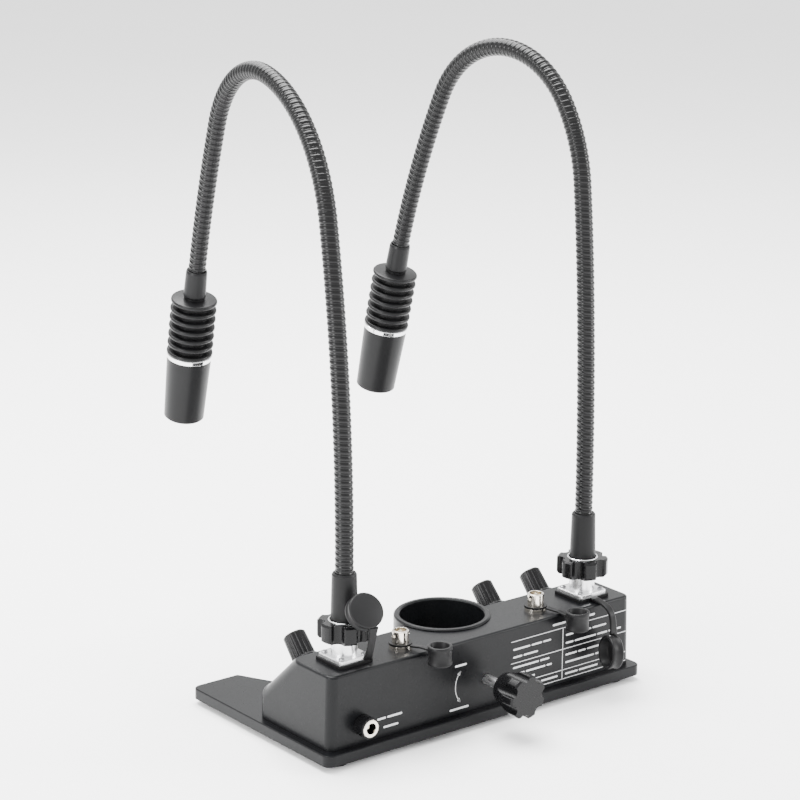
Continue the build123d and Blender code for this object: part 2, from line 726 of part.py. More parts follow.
def hose_link(arm, start, end, domed):
    """A stretch of hose; where it follows another, its start is hollowed to turn on that one's domed end."""
    tube = sweep(arm.plane(start) * Circle(HOSE_RADIUS), path=arm.path(start, end))
    if start in arm.hinges:
        tube -= arm.plane(start) * Sphere(HOSE_RADIUS + JOINT_CLEARANCE)
    if domed:
        tube += arm.plane(end) * Sphere(HOSE_RADIUS - DOME_STEP)
    return tube


def head_plane(arm):
    return arm.plane(arm.total)


def end_ferrule(arm):
    """The tapered ferrule between the hose and the heat sink, with a neck where it screws in."""
    profile = [
        (0, -FERRULE_LENGTH - 0.8),
        (6.1, -FERRULE_LENGTH - 0.8),
        (6.5, -FERRULE_LENGTH + 0.6),
        (6.9, -2.4),
        (6.4, -1.6),
        (6.4, 0),
        (0, 0),
    ]
    socket = arm.plane(arm.hinges[2]) * Sphere(HOSE_RADIUS + JOINT_CLEARANCE)
    return turned(head_plane(arm), profile) - socket


def heat_sink(arm):
    """Seven round fins on a core, bored for the wires."""
    profile = [(2.0, 0)]
    for fin in range(FIN_COUNT):
        z = fin * FIN_PITCH
        profile += [(FIN_RADIUS - 0.8, z), (FIN_RADIUS, z + 0.8)]
        profile += [(FIN_RADIUS, z + FIN_THICK - 0.8), (FIN_RADIUS - 0.8, z + FIN_THICK)]
        if fin < FIN_COUNT - 1:
            profile += [(FIN_CORE, z + FIN_THICK), (FIN_CORE, z + FIN_PITCH)]
    profile.append((2.0, SINK_LENGTH))
    return turned(head_plane(arm), profile)


def trim_ring(arm):
    start = SINK_LENGTH
    profile = [(9.0, start), (13.6, start), (13.9, start + 0.3), (13.9, start + RING_LENGTH - 0.3)]
    profile += [(13.6, start + RING_LENGTH), (9.0, start + RING_LENGTH)]
    return turned(head_plane(arm), profile)


def lamp_barrel(arm):
    start = SINK_LENGTH + RING_LENGTH
    profile = [
        (9.0, start),
        (13.6, start),
        (BARREL_END_RADIUS, HEAD_LENGTH - 0.8),
        (BARREL_END_RADIUS - 0.8, HEAD_LENGTH),
        (10.8, HEAD_LENGTH),
        (10.8, HEAD_LENGTH - 7),
        (9.6, HEAD_LENGTH - 7),
        (9.6, start + 4),
        (9.0, start + 4),
    ]
    return turned(head_plane(arm), profile)


def led_module(arm):
    """The round LED board against the heat sink's end, with its emitter."""
    place = head_plane(arm)
    board = local_post(place, SINK_LENGTH, SINK_LENGTH + 1.6, 8.9)
    emitter = turned(place, [(0, 0), (2.6, 0), (2.4, 1.2), (1.4, 2.2), (0, 2.4)])
    return [board, Pos(*(arm.tangent(arm.total) * (SINK_LENGTH + 1.6))) * emitter]


def lamp_lens(arm):
    """The condenser lens, seated on the step near the barrel's mouth."""
    seat = HEAD_LENGTH - 7
    profile = [(0, seat), (10.7, seat), (10.7, seat + 1.5)]
    profile += [(8.6, seat + 2.9), (5.8, seat + 3.9), (3.0, seat + 4.5), (0, seat + 4.7)]
    return turned(head_plane(arm), profile)


def save(name, shape):
    pieces = shape if isinstance(shape, list) else [shape]
    solids = [solid for piece in pieces for solid in piece.solids()]
    export_step(solids[0] if len(solids) == 1 else Compound(children=solids), f"parts/{name}.step")


def save_base():
    save("base_plate", base_plate())
    save("rubber_feet", rubber_feet())
    save("base_screws", base_screws())
    save("housing_shell", housing_shell())
    save("housing_bosses", housing_bosses())
    save("column_collar", column_collar())
    save("clamp_boss", clamp_boss())
    save("clamp_pad", clamp_pad())
    save("clamp_screw", clamp_screw())
    save("clamp_knob", clamp_knob())
    save("dc_inlet", dc_inlet())
    save("dc_inlet_contacts", dc_inlet_contacts())
    save("driver_boards", driver_boards())
    save("board_standoffs", board_standoffs())
    save("board_parts", board_parts())
    save("lead_wires", lead_wires())


def save_outlets():
    save("panel_nuts", panel_nuts())
    save("outlet_contacts", outlet_contacts())
    save("socket_screws", socket_screws())
    save("socket_gaskets", socket_gaskets())
    save("aux_cap_rings", aux_cap_rings())
    save("right_lamp_cap", right_lamp_cap())
    save("left_lamp_cap", left_lamp_cap())
    save("right_aux_cap", aux_cap(1, 43.6, 51.6, 57.4, 48.7, 32.4))
    save("left_aux_cap", aux_cap(-1, -60.6, 51.6, 54.6, -53.9, 32.2))
    save("potentiometers", potentiometers())
    for name, side in (("right", 1), ("left", -1)):
        save(f"{name}_aux_jack", aux_jack(side))
        save(f"{name}_lamp_socket", lamp_socket(side))
        for role, x in (("lamp", LAMP_X), ("aux", AUX_X)):
            save(f"{name}_{role}_dimmer", [dimmer_knob(side * x), dimmer_shaft(side * x)])


def save_arm(name, arm):
    first, second, third = arm.hinges
    save(f"{name}_arm_plug", arm_plug(arm))
    save(f"{name}_base_sleeve", base_sleeve(arm))
    save(f"{name}_hand_nut", hand_nut(arm))
    save(f"{name}_nut_ring", nut_ring(arm))
    save(f"{name}_hose_lower", hose_link(arm, BARREL_TOP + 8.0 - ARM_START_Z, first, True))
    save(f"{name}_hose_middle", hose_link(arm, first, second, True))
    save(f"{name}_hose_upper", hose_link(arm, second, third, True))
    save(f"{name}_end_ferrule", end_ferrule(arm))
    save(f"{name}_heat_sink", heat_sink(arm))
    save(f"{name}_trim_ring", trim_ring(arm))
    save(f"{name}_lamp_barrel", lamp_barrel(arm))
    save(f"{name}_led_module", led_module(arm))
    save(f"{name}_lamp_lens", lamp_lens(arm))


os.makedirs("parts", exist_ok=True)
save_base()
save_outlets()
save_arm("right", RIGHT_ARM)
save_arm("left", LEFT_ARM)
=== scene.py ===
import bmesh
import bpy
import json
from math import atan2, cos, pi, radians, sin
from mathutils import Matrix, Vector


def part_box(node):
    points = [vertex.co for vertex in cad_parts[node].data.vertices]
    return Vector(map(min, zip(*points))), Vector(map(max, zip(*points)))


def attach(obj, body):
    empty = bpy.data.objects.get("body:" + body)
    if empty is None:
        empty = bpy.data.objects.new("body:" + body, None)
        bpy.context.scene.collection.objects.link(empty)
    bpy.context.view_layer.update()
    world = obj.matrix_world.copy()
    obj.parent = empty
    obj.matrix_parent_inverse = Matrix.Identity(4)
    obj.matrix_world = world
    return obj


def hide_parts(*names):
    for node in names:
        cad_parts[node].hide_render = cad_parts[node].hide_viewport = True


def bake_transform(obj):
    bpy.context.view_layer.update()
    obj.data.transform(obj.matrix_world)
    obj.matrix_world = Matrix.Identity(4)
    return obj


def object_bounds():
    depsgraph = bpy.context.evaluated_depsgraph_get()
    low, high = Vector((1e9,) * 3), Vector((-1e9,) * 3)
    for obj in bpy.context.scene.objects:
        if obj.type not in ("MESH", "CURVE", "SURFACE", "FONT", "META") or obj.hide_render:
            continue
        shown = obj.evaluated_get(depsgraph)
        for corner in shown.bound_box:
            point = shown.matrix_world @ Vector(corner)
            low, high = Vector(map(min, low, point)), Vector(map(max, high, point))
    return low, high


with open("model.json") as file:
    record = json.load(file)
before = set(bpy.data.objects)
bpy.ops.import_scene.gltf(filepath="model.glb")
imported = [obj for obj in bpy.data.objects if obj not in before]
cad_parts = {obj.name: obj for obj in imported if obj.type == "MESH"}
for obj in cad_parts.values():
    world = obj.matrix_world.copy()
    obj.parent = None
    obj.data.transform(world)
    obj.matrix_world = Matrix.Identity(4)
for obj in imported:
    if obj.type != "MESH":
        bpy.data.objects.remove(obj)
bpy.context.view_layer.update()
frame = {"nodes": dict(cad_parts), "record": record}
NODES = frame["nodes"]
JOINTS = {joint["name"]: joint for joint in frame["record"]["behaviour"]["joints"]}
MM = 0.001
TINY = 1e-9

# Gooseneck hose
HOSE_RADIUS = 5.395 * MM
HOSE_PITCH = 3.5 * MM
HOSE_GROOVE = 0.55 * MM
HOSE_BLEND = 42.0 * MM
HOSE_COIL_SHARE = 0.66
HOSE_FILLER_SHARE = 0.34
HOSE_FILLER_RISE = 0.5
HOSE_AROUND = 32
HOSE_RINGS_PER_PITCH = 16
SLEEVE_OVERLAP = 12 * MM
FERRULE_OVERLAP = 4 * MM
FERRULE_BLEND = 2 * MM

# Lamp heads' fins
FIN_COUNT = 7
FIN_PITCH = 5.7 * MM
FIN_THICK = 2.5 * MM
FIN_RADIUS = 14.1 * MM
FIN_CORE = 10.2 * MM
FIN_ROUNDING = 0.9 * MM
FIN_STEPS = 8

# Each arm's centre line: stretches of even bend, (length in mm, turn in degrees)
ARM_STRETCHES = {
    "right": [(58, 0), (183.7, 11.7), (108.5, 69.1), (79.4, 77.4), (118.0, 8.9)],
    "left": [(58, 0), (116.4, 2.8), (69.2, 2.7), (48.5, 27.8), (125.8, 121.3), (124.5, 12.0)],
}

# Straps of the rubber caps
STRAP_AROUND = 24
STRAP_FLARE = 0.25

# Dust caps of the bayonet outlets
AUX_CAP_RADIUS = 7.1 * MM
AUX_CAP_DEPTH = 11.5 * MM
AUX_CAP_WALL = 1.7 * MM
AUX_CAP_LIP = 2.0 * MM
AUX_STRAP_WIDTH = 3.2 * MM
AUX_STRAP_THICK = 1.2 * MM

# Caps of the lamp sockets
LAMP_CAP_WALL = 1.8 * MM
LAMP_CAP_LIP = 1.6 * MM
LAMP_STRAP_WIDTH = 4.2 * MM
LAMP_STRAP_THICK = 1.5 * MM

# Their places, in mm: closed face or mouth, which way it looks, and the strap's route
RIGHT_CAP_FACE = (89.8, 44.0, 86.6)
RIGHT_CAP_OUTWARD = (0.1, 0.79, 0.61)
RIGHT_CAP_DEPTH = 6.6
RIGHT_CAP_RADIUS = 10.5
RIGHT_STRAP_ACROSS = (1, -0.4, 0)
RIGHT_CAP_STRAP = [
    (83.0, 35.8, 53.6),
    (84.4, 39.4, 58.6),
    (85.8, 42.4, 64.0),
    (87.2, 46.0, 71.6),
    (88.3, 48.2, 77.0),
]
LEFT_CAP_MOUTH = (-81.8, 53.9, 24.7)
LEFT_CAP_FACING = (0.955, -0.28, 0.09)
LEFT_CAP_DEPTH = 7.4
LEFT_CAP_RADIUS = 10.1
LEFT_STRAP_ACROSS = (1, 0, 0)
LEFT_CAP_STRAP = [
    (-88.0, 35.8, 52.2),
    (-88.0, 43.0, 51.6),
    (-88.0, 49.6, 49.4),
    (-88.0, 53.2, 43.5),
    (-88.0, 53.4, 34.5),
]

# Printing on the rear wall, in mm where no unit is given
INK_LIFT = 0.04 * MM
RULE_WIDTH = 0.4 * MM
BAR_GAP = 2.1
HEADING_BARS = (-51.0, 45.0, [9, 7, 12], 1.3)
LABEL_BAR_HEIGHT = 1.1
LABEL_BARS = [
    (-20.5, 36.6, [12, 7, 5]),
    (-20.5, 31.8, [6, 10]),
    (-20.5, 25.3, [19, 6]),
    (-20.5, 21.2, [8, 14, 3]),
    (-20.5, 17.4, [16]),
    (-20.5, 12.2, [20, 12]),
    (-61.5, 36.6, [5, 12, 10]),
    (-61.5, 31.6, [5, 16, 7, 9]),
    (-61.5, 24.2, [8, 5, 12]),
    (-61.5, 19.4, [22, 6]),
    (-61.5, 12.2, [9, 14]),
]
ARROW_CENTRE = (10.0, 23.6)
ARROW_RADIUS = 13.5
ARROW_SWEEP = 44
ARROW_STEPS = 14
ARROW_LINE = 0.5 * MM
ARROW_HEAD = 2.4 * MM
ARROW_HEAD_LEANS = (-0.32, -0.16, 0, 0.16, 0.32)

# Stage and camera, in metres and degrees
FLOOR_HALF = 3.2
WORLD_STRENGTH = 2.2
LIGHTS = [
    ("overhead", (0.0, -0.5, 1.5), (0, -0.05, 0.1), 1.3, 120),
    ("side", (1.4, 0.1, 0.5), (0, 0, 0.15), 0.6, 22),
    ("rear_left", (-1.3, 1.0, 0.7), (0, 0, 0.15), 0.5, 26),
]
CAMERA_PLACE = (0.91782, 1.11485, 0.58088)
CAMERA_ANGLES = (141.5505, 15.4596, 0.4013)
CAMERA_LENS = 117.405


# ---------------------------------------------------------------- materials

def graph(name):
    """A new node material: (material, nodes, link function, shader)."""
    material = bpy.data.materials.new(name)
    material.use_nodes = True
    nodes = material.node_tree.nodes
    links = material.node_tree.links
    shader = nodes["Principled BSDF"]
    return material, nodes, links.new, shader


def object_noise(nodes, link, scale, detail=3.0, stretch=(1, 1, 1), roughness=0.5):
    """Noise in object space, in metres, stretched along the axes."""
    place = nodes.new("ShaderNodeTexCoord")
    mapping = nodes.new("ShaderNodeMapping")
    mapping.inputs["Scale"].default_value = stretch
    noise = nodes.new("ShaderNodeTexNoise")
    noise.inputs["Scale"].default_value = scale
    noise.inputs["Detail"].default_value = detail
    noise.inputs["Roughness"].default_value = roughness
    link(place.outputs["Object"], mapping.inputs["Vector"])
    link(mapping.outputs["Vector"], noise.inputs["Vector"])
    return noise.outputs["Fac"]


def spread(nodes, link, value, low, high):
    """A 0 to 1 value's middle range mapped to low and high."""
    fit = nodes.new("ShaderNodeMapRange")
    fit.inputs["From Min"].default_value = 0.3
    fit.inputs["From Max"].default_value = 0.7
    fit.inputs["To Min"].default_value = low
    fit.inputs["To Max"].default_value = high
    link(value, fit.inputs["Value"])
    return fit.outputs["Result"]


def tint(nodes, link, value, dark, light):
    """A colour between two, by a 0 to 1 value."""
    ramp = nodes.new("ShaderNodeValToRGB")
    ramp.color_ramp.elements[0].position = 0.3
    ramp.color_ramp.elements[0].color = (*dark, 1)
    ramp.color_ramp.elements[1].position = 0.7
    ramp.color_ramp.elements[1].color = (*light, 1)
    link(value, ramp.inputs["Fac"])
    return ramp.outputs["Color"]


def bumped(nodes, link, height, distance, strength):
    """A bump from a height value."""
    bump = nodes.new("ShaderNodeBump")
    bump.inputs["Distance"].default_value = distance
    bump.inputs["Strength"].default_value = strength
    link(height, bump.inputs["Height"])
    return bump.outputs["Normal"]


def edge_light(nodes, link, normal, radius):
    """Rounds hard edges in shading, over a bumped normal."""
    bevel = nodes.new("ShaderNodeBevel")
    bevel.samples = 4
    bevel.inputs["Radius"].default_value = radius
    link(bevel.outputs["Normal"], normal.node.inputs["Normal"])
    return normal


def painted(name, colour, rough, grain, grain_depth, blotch=0.12, edge=0.35 * MM, specular=0.5):
    """Paint, moulded plastic or rubber: slow colour variation, fine grain, softened edges."""
    material, nodes, link, shader = graph(name)
    slow = object_noise(nodes, link, 38, 4)
    fine = object_noise(nodes, link, grain, 3)
    dark = [c * (1 - blotch) for c in colour]
    light = [c * (1 + blotch) for c in colour]
    link(tint(nodes, link, slow, dark, light), shader.inputs["Base Color"])
    link(spread(nodes, link, fine, rough - 0.05, rough + 0.06), shader.inputs["Roughness"])
    shader.inputs["Specular IOR Level"].default_value = specular
    normal = bumped(nodes, link, fine, grain_depth, 0.8)
    link(edge_light(nodes, link, normal, edge), shader.inputs["Normal"])
    return material


def metal(name, colour, rough, stretch, line_depth, edge=0.25 * MM):
    """Bare or plated metal with machining lines drawn out across the stretched axis."""
    material, nodes, link, shader = graph(name)
    lines = object_noise(nodes, link, 900, 4, stretch, 0.65)
    smear = object_noise(nodes, link, 160, 3)
    dark = [c * 0.86 for c in colour]
    link(tint(nodes, link, smear, dark, colour), shader.inputs["Base Color"])
    link(spread(nodes, link, lines, rough * 0.7, rough * 1.4), shader.inputs["Roughness"])
    shader.inputs["Metallic"].default_value = 1.0
    normal = bumped(nodes, link, lines, line_depth, 0.7)
    link(edge_light(nodes, link, normal, edge), shader.inputs["Normal"])
    return material


def ink_material():
    """White screen-printing ink, slightly broken at its edges."""
    material, nodes, link, shader = graph("white_ink")
    fine = object_noise(nodes, link, 2600, 2)
    link(tint(nodes, link, fine, (0.42, 0.42, 0.43), (0.62, 0.62, 0.62)), shader.inputs["Base Color"])
    link(spread(nodes, link, fine, 0.5, 0.7), shader.inputs["Roughness"])
    return material


def glass_material():
    """Clear condenser glass with faint dust."""
    material, nodes, link, shader = graph("lens_glass")
    dust = object_noise(nodes, link, 700, 4)
    link(spread(nodes, link, dust, 0.02, 0.1), shader.inputs["Roughness"])
    shader.inputs["Base Color"].default_value = (0.93, 0.95, 0.97, 1)
    shader.inputs["Transmission Weight"].default_value = 1.0
    shader.inputs["IOR"].default_value = 1.5
    return material


MATERIALS = {
    "powder_coat": painted(
        "black_powder_coat", (0.0035, 0.0037, 0.0042), 0.32, 1100, 0.006 * MM, specular=0.13
    ),
    "black_anodised": painted(
        "black_anodised", (0.005, 0.005, 0.0054), 0.34, 2200, 0.004 * MM, specular=0.16
    ),
    "hose_sheath": painted(
        "black_hose", (0.0028, 0.0028, 0.003), 0.22, 1500, 0.004 * MM, edge=0.1 * MM, specular=0.2
    ),
    "black_plastic": painted(
        "black_plastic", (0.0035, 0.0035, 0.0038), 0.24, 1100, 0.006 * MM, specular=0.16
    ),
    "black_rubber": painted("black_rubber", (0.0055, 0.0055, 0.0058), 0.44, 1300, 0.015 * MM, specular=0.14),
    "bright_aluminium": metal("bright_aluminium", (0.84, 0.84, 0.85), 0.28, (1, 1, 9), 0.0006 * MM),
    "nickel": metal("nickel_plate", (0.80, 0.75, 0.67), 0.14, (1, 1, 6), 0.0004 * MM),
    "chrome_trim": metal("chrome_trim", (0.93, 0.93, 0.94), 0.10, (1, 1, 8), 0.0004 * MM),
    "steel": metal("turned_steel", (0.90, 0.90, 0.91), 0.30, (3, 0.2, 3), 0.0004 * MM),
    "dark_screw": metal("darker_screw_steel", (0.30, 0.30, 0.31), 0.30, (1, 1, 1), 0.0004 * MM),
    "contact_insulator": painted("insulator", (0.62, 0.60, 0.54), 0.45, 1200, 0.03 * MM),
    "circuit_board": painted("circuit_board", (0.02, 0.13, 0.05), 0.35, 900, 0.03 * MM),
    "board_parts": painted("board_parts", (0.03, 0.03, 0.034), 0.45, 1200, 0.03 * MM),
    "copper_wire": painted("wire_insulation", (0.42, 0.03, 0.025), 0.42, 900, 0.03 * MM),
    "led_white": painted("led_module", (0.72, 0.70, 0.60), 0.40, 1400, 0.03 * MM),
    "lens_glass": glass_material(),
    "ink": ink_material(),
}


# Small screws drawn in a darker steel colour than the other steel
DARKER_NODES = {"socket_screws": "dark_screw", "base_screws": "dark_screw"}


def paint_nodes():
    """Every carried-over node gets its slot's material."""
    for part in frame["record"]["subparts"]:
        node = NODES[part["node"]]
        node.data.materials.clear()
        slot = DARKER_NODES.get(part["node"], part["material_slot"])
        node.data.materials.append(MATERIALS[slot])


# ---------------------------------------------------------------- mesh helpers

def finish_mesh(name, mesh_data, slot, smooth=True):
    """Turns a bmesh into an object with its slot's material."""
    mesh = bpy.data.meshes.new(name)
    bmesh.ops.recalc_face_normals(mesh_data, faces=mesh_data.faces)
    mesh_data.to_mesh(mesh)
    mesh_data.free()
    for face in mesh.polygons:
        face.use_smooth = smooth
    piece = bpy.data.objects.new(name, mesh)
    bpy.context.scene.collection.objects.link(piece)
    mesh.materials.append(MATERIALS[slot])
    return piece


def loft(rings):
    """Joins closed rings of equal length into a skin, capped at both ends."""
    form = bmesh.new()
    made = [[form.verts.new(p) for p in ring] for ring in rings]
    count = len(rings[0])
    for low, high in zip(made, made[1:]):
        for i in range(count):
            j = (i + 1) % count
            form.faces.new((low[i], low[j], high[j], high[i]))
    form.faces.new(list(reversed(made[0])))
    form.faces.new(made[-1])
    return form


def lathe(name, profile, place, slot, around=96):
    """A skin of revolution about a matrix's Z from (radius, height) points in metres."""
    form = bmesh.new()
    rows = []
    for radius, height in profile:
        if radius < TINY:
            rows.append([form.verts.new(place @ Vector((0, 0, height)))])
            continue
        turn = [2 * pi * i / around for i in range(around)]
        ring = [Vector((radius * cos(angle), radius * sin(angle), height)) for angle in turn]
        rows.append([form.verts.new(place @ point) for point in ring])
    for low, high in zip(rows, rows[1:]):
        for i in range(around):
            j = (i + 1) % around
            corners = [low[i % len(low)], low[j % len(low)], high[j % len(high)], high[i % len(high)]]
            unique = list(dict.fromkeys(corners))
            if len(unique) > 2:
                form.faces.new(unique)
    return finish_mesh(name, form, slot)


def axis_frame(origin, direction, side=None):
    """A matrix at origin with Z along direction."""
    z = Vector(direction).normalized()
    x = Vector(side) if side is not None else z.orthogonal()
    x = (x - z * x.dot(z)).normalized()
    y = z.cross(x)
    turned = Matrix((x, y, z)).transposed().to_4x4()
    return Matrix.Translation(origin) @ turned


# ---------------------------------------------------------------- goosenecks

class Arm:
    """A gooseneck's centre line, from its joints in the record and its stretches."""

    def __init__(self, name):
        self.name = name
        self.base = Vector(JOINTS[f"{name}_arm_swivel"]["pos_m"])
        bend_axis = Vector(JOINTS[f"{name}_lower_bend"]["axis"])
        self.forward = bend_axis.cross(Vector((0, 0, 1)))
        self.stretches = [(length * MM, radians(turn)) for length, turn in ARM_STRETCHES[name]]
        self.total = sum(length for length, _ in self.stretches)
        self.across = bend_axis

    def state(self, s):
        reach, height, heading, left = 0.0, 0.0, 0.0, s
        for length, turn in self.stretches:
            step = min(left, length)
            bend = turn * step / length
            half = bend / 2
            chord = step if abs(half) < TINY else step * sin(half) / half
            reach += chord * sin(heading + half)
            height += chord * cos(heading + half)
            heading += bend
            left -= step
            if left <= 0:
                break
        return reach, height, heading

    def point(self, s):
        reach, height, _ = self.state(s)
        return self.base + self.forward * reach + Vector((0, 0, height))

    def tangent(self, s):
        heading = self.state(s)[2]
        return self.forward * sin(heading) + Vector((0, 0, cos(heading)))

    def length_to(self, joint):
        """The arc length nearest a joint's place."""
        spot = Vector(JOINTS[f"{self.name}_{joint}"]["pos_m"])
        steps = [self.total * i / 4000 for i in range(4001)]
        return min(steps, key=lambda s: (self.point(s) - spot).length)


def hose_radius(s):
    """Once a pitch: a broad round coil, and a thin filler wire sunk between it and the next."""
    phase = (s / HOSE_PITCH) % 1.0
    if phase < HOSE_COIL_SHARE:
        crest = sin(pi * phase / HOSE_COIL_SHARE) ** 0.5
        return HOSE_RADIUS - HOSE_GROOVE * (1 - crest)
    filler = sin(pi * (phase - HOSE_COIL_SHARE) / HOSE_FILLER_SHARE) ** 0.6
    return HOSE_RADIUS - HOSE_GROOVE * (1 - HOSE_FILLER_RISE * filler)


def hose_piece(arm, label, start, end):
    """A corrugated stretch of hose; its rings wind as a shallow helix."""
    rings = []
    count = int((end - start) / HOSE_PITCH * HOSE_RINGS_PER_PITCH)
    for i in range(count + 1):
        s = start + (end - start) * i / count
        centre = arm.point(s)
        normal = arm.tangent(s).cross(arm.across)
        ring = []
        for k in range(HOSE_AROUND):
            angle = 2 * pi * k / HOSE_AROUND
            radius = hose_radius(s + HOSE_PITCH * k / HOSE_AROUND)
            ring.append(centre + (arm.across * cos(angle) + normal * sin(angle)) * radius)
        rings.append(ring)
    return finish_mesh(f"{arm.name}_hose_{label}_skin", loft(rings), "hose_sheath")


def build_hose(arm):
    """Three stretches, each running over one hinge, meeting inside the ridges between hinges."""
    name = arm.name
    sleeve_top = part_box(f"{name}_base_sleeve")[1][2]
    foot = sleeve_top - arm.base.z - SLEEVE_OVERLAP
    first = arm.length_to("lower_bend")
    second = arm.length_to("upper_bend")
    third = arm.length_to("head_tilt")
    middle_a = (first + second) / 2
    middle_b = (second + third) / 2
    tip = third + FERRULE_OVERLAP
    spans = [
        ("lower", foot, middle_a, first, f"{name}_lower_arm", f"{name}_middle_arm", HOSE_BLEND),
        ("middle", middle_a, middle_b, second, f"{name}_middle_arm", f"{name}_upper_arm", HOSE_BLEND),
        ("upper", middle_b, tip, third, f"{name}_upper_arm", f"{name}_head", FERRULE_BLEND),
    ]
    for label, start, end, hinge, lower_body, upper_body, reach in spans:
        piece = hose_piece(arm, label, start, end)
        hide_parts(f"{name}_hose_{label}")
        along = arm.tangent(hinge) * reach
        arm.point(hinge) - along
        arm.point(hinge) + along
        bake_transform(piece)


def build_head(arm):
    """The finned heat sink, a closed turning with rounded fins on a narrow core."""
    name = arm.name
    place = axis_frame(arm.point(arm.total), arm.tangent(arm.total), arm.across)
    shoulder = FIN_RADIUS - FIN_ROUNDING
    profile = [(0, 0)]
    for fin in range(FIN_COUNT):
        z = fin * FIN_PITCH
        if fin:
            profile.append((FIN_CORE, z))
        for step in range(FIN_STEPS + 1):
            angle = -pi / 2 + pi * step / FIN_STEPS
            out = shoulder + (FIN_RADIUS - shoulder) * cos(angle)
            profile.append((out, z + FIN_THICK / 2 * (1 + sin(angle))))
        if fin < FIN_COUNT - 1:
            profile.append((FIN_CORE, z + FIN_THICK))
    profile.append((0, (FIN_COUNT - 1) * FIN_PITCH + FIN_THICK))
    sink = lathe(f"{name}_fins", profile, place, "black_anodised")
    mark_sharp(sink, 40)
    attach(sink, f"{name}_head")
    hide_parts(f"{name}_heat_sink")


def mark_sharp(piece, angle):
    """Keeps hard corners hard in a smooth-shaded mesh."""
    form = bmesh.new()
    form.from_mesh(piece.data)
    for edge in form.edges:
        if len(edge.link_faces) == 2 and edge.calc_face_angle(0) > radians(angle):
            edge.smooth = False
    form.to_mesh(piece.data)
    form.free()


# ---------------------------------------------------------------- rubber caps

def smooth_path(points):
    """Points along the NURBS line that has these control points."""
    curve = bpy.data.curves.new("path", "CURVE")
    curve.dimensions = "3D"
    spline = curve.splines.new("NURBS")
    spline.points.add(len(points) - 1)
    for knot, point in zip(spline.points, points):
        knot.co = (*point, 1)
    spline.order_u = 3
    spline.use_endpoint_u = True
    spline.resolution_u = 12
    holder = bpy.data.objects.new("path", curve)
    line = bpy.data.meshes.new_from_object(holder)
    path = [vertex.co.copy() for vertex in line.vertices]
    bpy.data.objects.remove(holder)
    return path


def strap(name, points, width, thick, across):
    """A flat moulded strap with rounded edges, a little wider at its two ends."""
    path = smooth_path(points)
    rings = []
    for i, at in enumerate(path):
        along = (path[min(i + 1, len(path) - 1)] - path[max(i - 1, 0)]).normalized()
        side = (across - along * across.dot(along)).normalized()
        up = along.cross(side)
        share = i / (len(path) - 1)
        half_width = width / 2 * (1 + STRAP_FLARE * (2 * share - 1) ** 4)
        ring = []
        for k in range(STRAP_AROUND):
            angle = 2 * pi * k / STRAP_AROUND
            out = max(-1, min(1, 1.2 * cos(angle)))
            lift = max(-1, min(1, 1.5 * sin(angle)))
            ring.append(at + side * out * half_width + up * lift * thick / 2)
        rings.append(ring)
    return finish_mesh(name, loft(rings), "black_rubber")


def cup(name, place, radius, depth, wall, lip):
    """A moulded cap, mouth at the matrix's origin and closed end behind it, with a lip round its mouth."""
    waist = radius - 0.45 * MM
    profile = [
        (0, -depth),
        (radius - 1.1 * MM, -depth),
        (radius - 0.5 * MM, -depth + 0.2 * MM),
        (radius - 0.1 * MM, -depth + 0.7 * MM),
        (radius, -depth + 1.2 * MM),
        (waist, -depth + 1.9 * MM),
        (waist, -lip - 0.4 * MM),
        (radius, -lip),
        (radius, -0.3 * MM),
        (radius - 0.3 * MM, 0),
        (radius - wall + 0.3 * MM, 0),
        (radius - wall, -0.3 * MM),
        (radius - wall, -depth + wall + 0.5 * MM),
        (radius - wall - 0.5 * MM, -depth + wall),
        (0, -depth + wall),
    ]
    made = lathe(name, profile, place, "black_rubber", 80)
    mark_sharp(made, 50)
    return made


def build_aux_cap(side):
    """A dust cap on its strap; both turn with the cap's body about the strap's foot."""
    node = f"{side}_aux_cap"
    low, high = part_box(node)
    centre = Vector((low[0] + AUX_CAP_RADIUS, high[1] - AUX_CAP_RADIUS, high[2]))
    foot = Vector(JOINTS[f"{side}_outlet_cap_flex"]["pos_m"])
    flat = Vector((centre.x - foot.x, centre.y - foot.y, 0)).normalized()
    tie = Vector((centre.x, centre.y, centre.z - 4.0 * MM))
    end = tie - flat * (AUX_CAP_RADIUS - 1.2 * MM)
    middle = (foot + end) / 2
    place = Matrix.Translation(centre)
    body = cup(f"{side}_aux_cup", place, AUX_CAP_RADIUS, AUX_CAP_DEPTH, AUX_CAP_WALL, AUX_CAP_LIP)
    points = [foot, foot.lerp(middle, 0.6), middle + Vector((0, 0, 0.4 * MM)), middle.lerp(end, 0.5), end]
    across = flat.cross(Vector((0, 0, 1)))
    line = strap(f"{side}_aux_strap", points, AUX_STRAP_WIDTH, AUX_STRAP_THICK, across)
    for piece in (body, line):
        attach(piece, f"{side}_outlet_cap")
        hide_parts(node)


def build_lamp_cap(side, mouth, facing, depth, radius, route, cap_across):
    """A socket cap and the strap that ties it to the gasket."""
    node = f"{side}_lamp_cap"
    place = axis_frame(Vector(mouth) * MM, facing)
    body = cup(f"{side}_lamp_cup", place, radius * MM, depth * MM, LAMP_CAP_WALL, LAMP_CAP_LIP)
    points = [Vector(point) * MM for point in route]
    across = Vector(cap_across).normalized()
    line = strap(f"{side}_lamp_strap", points, LAMP_STRAP_WIDTH, LAMP_STRAP_THICK, across)
    for piece in (body, line):
        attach(piece, f"{side}_socket_cap")
        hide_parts(node)


